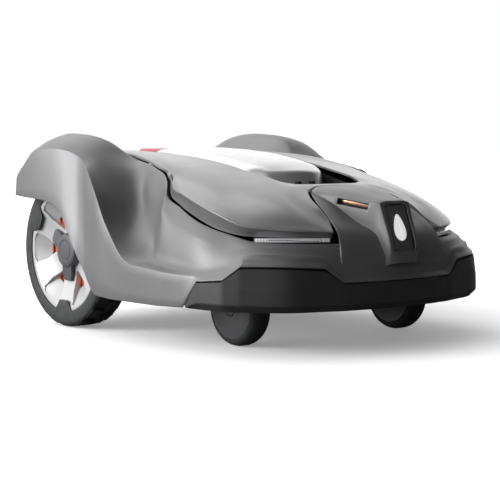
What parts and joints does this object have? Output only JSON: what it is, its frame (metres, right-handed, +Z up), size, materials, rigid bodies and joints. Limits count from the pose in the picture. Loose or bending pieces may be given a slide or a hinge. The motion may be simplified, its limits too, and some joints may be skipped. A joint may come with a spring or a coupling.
{
  "type": "robotic lawn mower",
  "caption": "Four-wheeled robotic lawn mower: floating body shell on a chassis, driven rear wheels, swivel casters and a height-adjustable pivoting-blade disc.",
  "frame": {"origin": "centre of the bounding box at ground level, midway between the sides and between nose and tail", "axes": "+Z up, -Y towards the nose (direction of travel), +X to the mower's left"},
  "size_m": [0.558, 0.72, 0.314],
  "materials": {
    "body_grey": "fine-textured silver-grey moulded plastic",
    "cover_grey": "glossy metallic grey lacquered plastic",
    "hatch_silver": "glossy light silver lacquered plastic",
    "bumper_charcoal": "soft textured charcoal moulding",
    "black_plastic": "matt black plastic",
    "dark_grey_plastic": "matt dark grey plastic",
    "tyre_rubber": "matt black rubber",
    "rim_silver": "satin white-silver plastic",
    "orange_plastic": "satin orange plastic",
    "stop_red": "semi-gloss red plastic",
    "headlight_lens": "clear lens over a bright light bar",
    "contact_copper": "copper-plated charging strip",
    "steel": "plain steel",
    "battery_sleeve": "blue shrink sleeve",
    "circuit_board": "green circuit board",
    "display_glass": "dark display window"
  },
  "bodies": {
    "chassis": {"chassis_base": "black_plastic", "chassis_lid": "black_plastic", "battery_pack": "battery_sleeve", "main_board": "circuit_board", "display_screen": "circuit_board", "display_glass": "display_glass", "carry_handle": "black_plastic", "wheel_motor_left": "dark_grey_plastic", "wheel_motor_right": "dark_grey_plastic", "height_motor": "dark_grey_plastic", "caster_bush_left": "black_plastic", "caster_bush_right": "black_plastic"},
    "suspension": {"suspension_post_1": "black_plastic", "suspension_post_2": "black_plastic", "suspension_post_3": "black_plastic", "suspension_post_4": "black_plastic"},
    "shell": {"body_shell": "body_grey", "top_cover": "cover_grey", "front_bumper": "bumper_charcoal", "badge_plate": "dark_grey_plastic", "badge_leaf": "rim_silver", "headlight_left": "headlight_lens", "headlight_right": "headlight_lens", "contact_housing_left": "black_plastic", "contact_housing_right": "black_plastic", "contact_plate_left": "contact_copper", "contact_plate_right": "contact_copper", "tail_panel": "dark_grey_plastic", "stop_surround": "dark_grey_plastic", "console_tray": "black_plastic", "shell_frame": "black_plastic", "hatch_pin": "black_plastic"},
    "hatch": {"hatch": "hatch_silver"},
    "stop_button": {"stop_button": "stop_red"},
    "main_switch": {"main_switch": "black_plastic"},
    "power_key": {"power_key": "dark_grey_plastic"},
    "ok_key": {"ok_key": "dark_grey_plastic"},
    "back_key": {"back_key": "dark_grey_plastic"},
    "start_key": {"start_key": "dark_grey_plastic"},
    "arrow_pad": {"arrow_pad": "dark_grey_plastic"},
    "height_screw": {"height_screw": "steel"},
    "cutting_unit": {"cutting_motor": "dark_grey_plastic"},
    "blade_disc": {"blade_disc": "black_plastic"},
    "blade_1": {"blade_1": "steel"},
    "blade_2": {"blade_2": "steel"},
    "blade_3": {"blade_3": "steel"},
    "skid_plate": {"skid_plate": "black_plastic"},
    "caster_fork_left": {"caster_fork_left": "dark_grey_plastic"},
    "caster_wheel_left": {"caster_wheel_left": "tyre_rubber"},
    "rear_wheel_left": {"rear_tyre_left": "tyre_rubber", "rear_rim_left": "rim_silver", "rim_insert_left": "orange_plastic", "hub_cap_left": "dark_grey_plastic"},
    "caster_fork_right": {"caster_fork_right": "dark_grey_plastic"},
    "caster_wheel_right": {"caster_wheel_right": "tyre_rubber"},
    "rear_wheel_right": {"rear_tyre_right": "tyre_rubber", "rear_rim_right": "rim_silver", "rim_insert_right": "orange_plastic", "hub_cap_right": "dark_grey_plastic"}
  },
  "joints": [
    {"name": "shell_bump", "type": "slide", "parent": "chassis", "child": "suspension", "axis": [0, 1, 0], "range_m": [-0.006, 0.006], "stiffness_N_per_m": 4000},
    {"name": "shell_lift", "type": "slide", "parent": "suspension", "child": "shell", "axis": [0, 0, 1], "range_m": [0, 0.008]},
    {"name": "hatch_hinge", "type": "hinge", "parent": "shell", "child": "hatch", "pos_m": [0, -0.138, 0.224], "axis": [1, 0, 0], "range_deg": [0, 75]},
    {"name": "stop_press", "type": "slide", "parent": "shell", "child": "stop_button", "axis": [0, 0, -1], "range_m": [0, 0.005], "stiffness_N_per_m": 1500, "springref_m": -0.002},
    {"name": "main_switch_rock", "type": "hinge", "parent": "chassis", "child": "main_switch", "pos_m": [0.085, 0.262, 0.07525], "axis": [0, 1, 0], "range_deg": [-6, 6]},
    {"name": "power_key_press", "type": "slide", "parent": "chassis", "child": "power_key", "axis": [0, 0, -1], "range_m": [0, 0.0012], "stiffness_N_per_m": 900, "springref_m": -0.0006},
    {"name": "ok_key_press", "type": "slide", "parent": "chassis", "child": "ok_key", "axis": [0, 0, -1], "range_m": [0, 0.0012], "stiffness_N_per_m": 900, "springref_m": -0.0006},
    {"name": "back_key_press", "type": "slide", "parent": "chassis", "child": "back_key", "axis": [0, 0, -1], "range_m": [0, 0.0012], "stiffness_N_per_m": 900, "springref_m": -0.0006},
    {"name": "start_key_press", "type": "slide", "parent": "chassis", "child": "start_key", "axis": [0, 0, -1], "range_m": [0, 0.0012], "stiffness_N_per_m": 900, "springref_m": -0.0006},
    {"name": "arrow_pad_press", "type": "slide", "parent": "chassis", "child": "arrow_pad", "axis": [0, 0, -1], "range_m": [0, 0.0012], "stiffness_N_per_m": 900, "springref_m": -0.0006},
    {"name": "cutting_height", "type": "slide", "parent": "chassis", "child": "cutting_unit", "axis": [0, 0, -1], "range_m": [0, 0.04]},
    {"name": "height_screw_turn", "type": "hinge", "parent": "chassis", "child": "height_screw", "pos_m": [0.046, 0.012, 0.13], "axis": [0, 0, 1], "range_deg": [0, 3600]},
    {"name": "blade_disc_spin", "type": "hinge", "parent": "cutting_unit", "child": "blade_disc", "pos_m": [0, 0.012, 0.0615], "axis": [0, 0, 1], "continuous": true},
    {"name": "skid_plate_spin", "type": "hinge", "parent": "cutting_unit", "child": "skid_plate", "pos_m": [0, 0.012, 0.048], "axis": [0, 0, 1], "continuous": true},
    {"name": "blade_1_swing", "type": "hinge", "parent": "blade_disc", "child": "blade_1", "pos_m": [0, 0.106, 0.0587], "axis": [0, 0, 1], "continuous": true},
    {"name": "blade_2_swing", "type": "hinge", "parent": "blade_disc", "child": "blade_2", "pos_m": [-0.08141, -0.035, 0.0587], "axis": [0, 0, 1], "continuous": true},
    {"name": "blade_3_swing", "type": "hinge", "parent": "blade_disc", "child": "blade_3", "pos_m": [0.08141, -0.035, 0.0587], "axis": [0, 0, 1], "continuous": true},
    {"name": "caster_swivel_left", "type": "hinge", "parent": "chassis", "child": "caster_fork_left", "pos_m": [0.161, -0.206, 0.127], "axis": [0, 0, 1], "continuous": true},
    {"name": "caster_roll_left", "type": "hinge", "parent": "caster_fork_left", "child": "caster_wheel_left", "pos_m": [0.161, -0.176, 0.056], "axis": [1, 0, 0], "continuous": true},
    {"name": "rear_wheel_spin_left", "type": "hinge", "parent": "chassis", "child": "rear_wheel_left", "pos_m": [0.2245, 0.173, 0.124], "axis": [1, 0, 0], "continuous": true},
    {"name": "caster_swivel_right", "type": "hinge", "parent": "chassis", "child": "caster_fork_right", "pos_m": [-0.161, -0.206, 0.127], "axis": [0, 0, 1], "continuous": true},
    {"name": "caster_roll_right", "type": "hinge", "parent": "caster_fork_right", "child": "caster_wheel_right", "pos_m": [-0.161, -0.176, 0.056], "axis": [1, 0, 0], "continuous": true},
    {"name": "rear_wheel_spin_right", "type": "hinge", "parent": "chassis", "child": "rear_wheel_right", "pos_m": [-0.2245, 0.173, 0.124], "axis": [1, 0, 0], "continuous": true}
  ],
  "couplings": [
    {"joint": "height_screw_turn", "follows": "cutting_height", "rad_per_m": 1570.8}
  ]
}
